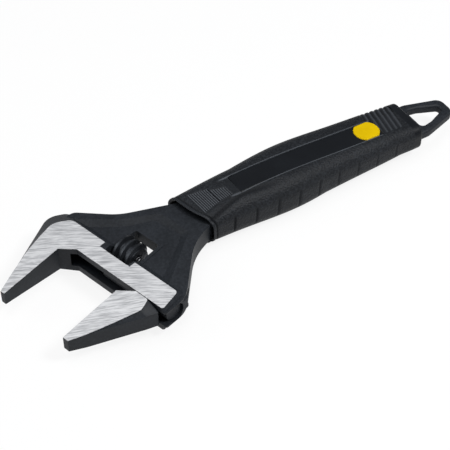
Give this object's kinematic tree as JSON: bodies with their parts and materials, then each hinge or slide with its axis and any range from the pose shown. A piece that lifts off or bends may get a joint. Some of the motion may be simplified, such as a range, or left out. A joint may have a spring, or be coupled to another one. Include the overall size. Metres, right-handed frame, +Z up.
{
  "type": "adjustable wrench",
  "caption": "Adjustable wrench with slim tapered jaws, a wide opening, a worm-driven movable jaw, a contoured two-material grip and a hanging loop.",
  "frame": {"origin": "centre of the fixed jaw's gripping face, at half the head's thickness", "axes": "+X along the handle towards the hanging loop, +Y across it to the fixed jaw's side, +Z up through the thickness"},
  "size_m": [0.2546, 0.0829, 0.0223],
  "materials": {
    "forged_steel": "bluish-black phosphated forging, brushed bright on the ground faces of the head",
    "jaw_steel": "bluish-black phosphated forging, brushed bright on the jaw's two faces",
    "worm_steel": "blackened turned steel",
    "pin_steel": "blackened turned steel",
    "spring_steel": "bright spring wire",
    "hard_grip": "smooth black hard plastic",
    "soft_grip": "matte black soft plastic with a leather grain",
    "inlay": "yellow plastic"
  },
  "bodies": {
    "body": {"forged_body": "forged_steel", "worm_pin": "pin_steel", "worm_spring": "spring_steel", "grip_core": "hard_grip", "grip_skin": "soft_grip", "inlay_top": "inlay", "inlay_bottom": "inlay"},
    "jaw": {"movable_jaw": "jaw_steel"},
    "worm": {"adjusting_worm": "worm_steel"}
  },
  "joints": [
    {"name": "jaw_slide", "type": "slide", "parent": "body", "child": "jaw", "axis": [0.2924, -0.9563, 0], "range_m": [-0.0381, 0.0041]},
    {"name": "worm_turn", "type": "hinge", "parent": "body", "child": "worm", "pos_m": [0.03572, 0.01092, 0], "axis": [-0.2924, 0.9563, 0], "range_deg": [-3430, 370]}
  ],
  "couplings": [
    {"joint": "worm_turn", "follows": "jaw_slide", "rad_per_m": 1570.8}
  ]
}
